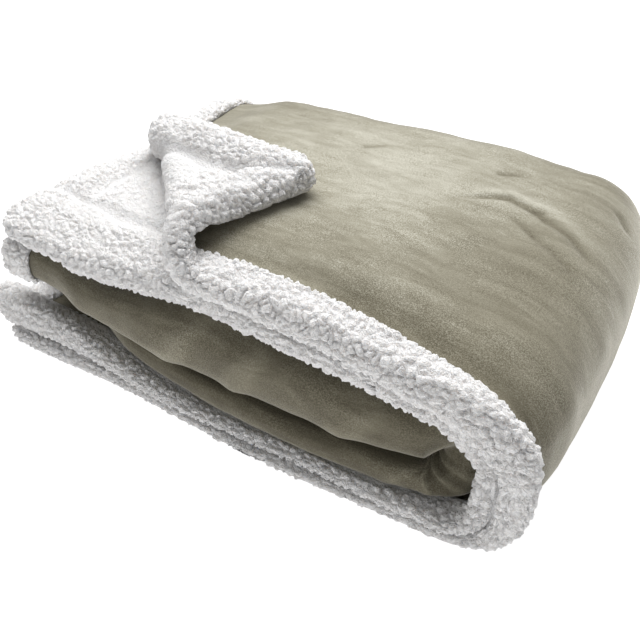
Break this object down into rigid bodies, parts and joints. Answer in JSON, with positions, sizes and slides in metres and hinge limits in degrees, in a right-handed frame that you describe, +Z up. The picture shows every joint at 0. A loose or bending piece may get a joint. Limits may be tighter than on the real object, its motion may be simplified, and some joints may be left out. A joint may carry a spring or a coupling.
{
  "type": "fleece throw",
  "caption": "Folded fleece throw with a plush face, a sherpa backing turned over the edge as a wide padded border, and the top corner turned back.",
  "frame": {"origin": "centre of the underside, on the surface that the folded throw rests on", "axes": "+X along the folded stack towards its turn, +Y from the hemmed near side to the folded far side, +Z up"},
  "size_m": [0.6958, 0.4644, 0.2463],
  "materials": {
    "fleece_face": "matte plush pile",
    "sherpa_back": "matte curled pile"
  },
  "bodies": {
    "root": {"fleece_face": "fleece_face", "sherpa_back": "sherpa_back"}
  },
  "joints": []
}
